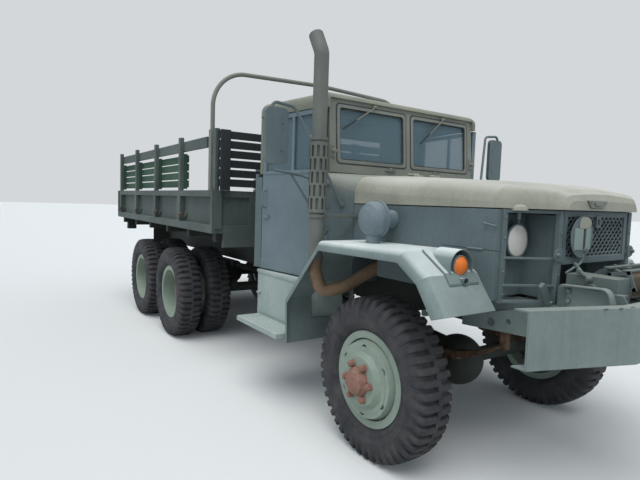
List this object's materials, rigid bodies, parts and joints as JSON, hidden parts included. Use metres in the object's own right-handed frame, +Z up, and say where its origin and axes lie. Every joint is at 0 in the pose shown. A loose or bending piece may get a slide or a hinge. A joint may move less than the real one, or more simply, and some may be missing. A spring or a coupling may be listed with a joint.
{
  "type": "military cargo truck",
  "caption": "Six-wheel military cargo truck with hardtop cab, winch bumper and steel cargo bed with racks; it rolls, steers, and its doors, hood and tailgate open.",
  "frame": {"origin": "on the ground under the middle of the truck's overall length and width", "axes": "+X forward to the front bumper, +Y to the truck's left, +Z up"},
  "size_m": [7.0789, 2.584, 2.7943],
  "materials": {
    "chassis_paint": "worn dark green paint",
    "bumper_paint": "scratched grey-green paint",
    "winch_steel": "worn grey-green paint",
    "engine_iron": "dull cast iron",
    "body_paint": "matt dark grey-green paint",
    "hood_paint": "sun-faded olive paint",
    "hardtop_paint": "sun-faded olive paint",
    "pale_paint": "chalky pale green paint",
    "bed_paint": "worn green paint",
    "stack_steel": "weathered grey-tan paint",
    "rusty_steel": "rusty steel",
    "wheel_paint": "chalky light green paint",
    "tyre_rubber": "dusty black rubber",
    "black_plastic": "black moulded plastic",
    "seat_canvas": "olive canvas",
    "rack_wood": "black-green painted boards",
    "green_wood": "green painted slats",
    "window_glass": "clear flat glass",
    "lamp_glass": "clear fluted lens",
    "signal_lens": "amber lens"
  },
  "bodies": {
    "chassis": {"frame_rails": "chassis_paint", "front_bumper": "bumper_paint", "winch": "winch_steel", "engine_block": "engine_iron", "radiator_grille": "body_paint", "brush_guards": "body_paint", "headlamps": "lamp_glass", "signal_lamps": "pale_paint", "fender_right": "pale_paint", "fender_left": "pale_paint", "hood_sides": "body_paint", "cab_body": "body_paint", "windshield_frame": "body_paint", "cab_glass": "window_glass", "hardtop": "hardtop_paint", "seat_frames": "chassis_paint", "seat_cushions": "seat_canvas", "steering_wheel": "black_plastic", "side_boxes": "pale_paint", "steps": "pale_paint", "fuel_tank": "chassis_paint", "exhaust_stack": "stack_steel", "exhaust_pipe": "rusty_steel", "air_intake": "body_paint", "mirrors": "body_paint", "cargo_bed": "bed_paint", "bed_frame": "chassis_paint", "racks": "bed_paint", "front_rack": "rack_wood", "troop_seats": "green_wood", "tarp_bow": "bed_paint", "tail_lamps": "signal_lens", "rear_hooks": "chassis_paint", "front_axle": "chassis_paint", "rear_axles": "chassis_paint", "front_springs": "rusty_steel", "bogie_springs": "rusty_steel", "drive_line": "chassis_paint"},
    "right_knuckle": {"knuckle_right": "chassis_paint"},
    "left_knuckle": {"knuckle_left": "chassis_paint"},
    "tie_rod_body": {"tie_rod": "chassis_paint"},
    "right_door": {"door_right": "body_paint", "door_glass_right": "window_glass"},
    "left_door": {"door_left": "body_paint", "door_glass_left": "window_glass"},
    "hood_lid": {"hood": "hood_paint"},
    "tail_gate": {"tailgate": "bed_paint"},
    "front_wheel_assembly_right": {"front_tyre_right": "tyre_rubber", "front_wheel_right": "wheel_paint"},
    "mid_wheel_assembly_right": {"mid_tyres_right": "tyre_rubber", "mid_wheels_right": "wheel_paint"},
    "rear_wheel_assembly_right": {"rear_tyres_right": "tyre_rubber", "rear_wheels_right": "wheel_paint"},
    "front_wheel_assembly_left": {"front_tyre_left": "tyre_rubber", "front_wheel_left": "wheel_paint"},
    "mid_wheel_assembly_left": {"mid_tyres_left": "tyre_rubber", "mid_wheels_left": "wheel_paint"},
    "rear_wheel_assembly_left": {"rear_tyres_left": "tyre_rubber", "rear_wheels_left": "wheel_paint"}
  },
  "joints": [
    {"name": "steer_left", "type": "hinge", "parent": "chassis", "child": "left_knuckle", "pos_m": [2.248, 0.715, 0.505], "axis": [0, 0, 1], "range_deg": [-28, 28]},
    {"name": "steer_right", "type": "hinge", "parent": "chassis", "child": "right_knuckle", "pos_m": [2.248, -0.715, 0.505], "axis": [0, 0, 1], "range_deg": [-28, 28]},
    {"name": "tie_rod_end", "type": "hinge", "parent": "left_knuckle", "child": "tie_rod_body", "pos_m": [2.028, 0.663, 0.395], "axis": [0, 0, 1], "range_deg": [-28, 28]},
    {"name": "right_door_hinge", "type": "hinge", "parent": "chassis", "child": "right_door", "pos_m": [1.51, -0.86, 1.5], "axis": [0, 0, 1], "range_deg": [0, 60]},
    {"name": "left_door_hinge", "type": "hinge", "parent": "chassis", "child": "left_door", "pos_m": [1.51, 0.86, 1.5], "axis": [0, 0, -1], "range_deg": [0, 60]},
    {"name": "hood_hinge", "type": "hinge", "parent": "chassis", "child": "hood_lid", "pos_m": [1.703, 0, 1.812], "axis": [0, -1, 0], "range_deg": [0, 65]},
    {"name": "tailgate_hinge", "type": "hinge", "parent": "chassis", "child": "tail_gate", "pos_m": [-3.516, 0, 1.282], "axis": [0, -1, 0], "range_deg": [0, 90]},
    {"name": "front_wheel_spin_right", "type": "hinge", "parent": "right_knuckle", "child": "front_wheel_assembly_right", "pos_m": [2.248, -0.87, 0.505], "axis": [0, 1, 0], "continuous": true},
    {"name": "mid_wheel_spin_right", "type": "hinge", "parent": "chassis", "child": "mid_wheel_assembly_right", "pos_m": [-1.0545, -0.9, 0.505], "axis": [0, 1, 0], "continuous": true},
    {"name": "rear_wheel_spin_right", "type": "hinge", "parent": "chassis", "child": "rear_wheel_assembly_right", "pos_m": [-2.2735, -0.9, 0.505], "axis": [0, 1, 0], "continuous": true},
    {"name": "front_wheel_spin_left", "type": "hinge", "parent": "left_knuckle", "child": "front_wheel_assembly_left", "pos_m": [2.248, 0.87, 0.505], "axis": [0, 1, 0], "continuous": true},
    {"name": "mid_wheel_spin_left", "type": "hinge", "parent": "chassis", "child": "mid_wheel_assembly_left", "pos_m": [-1.0545, 0.9, 0.505], "axis": [0, 1, 0], "continuous": true},
    {"name": "rear_wheel_spin_left", "type": "hinge", "parent": "chassis", "child": "rear_wheel_assembly_left", "pos_m": [-2.2735, 0.9, 0.505], "axis": [0, 1, 0], "continuous": true}
  ],
  "couplings": [
    {"joint": "steer_right", "follows": "steer_left", "ratio": 1},
    {"joint": "tie_rod_end", "follows": "steer_left", "ratio": -1}
  ]
}
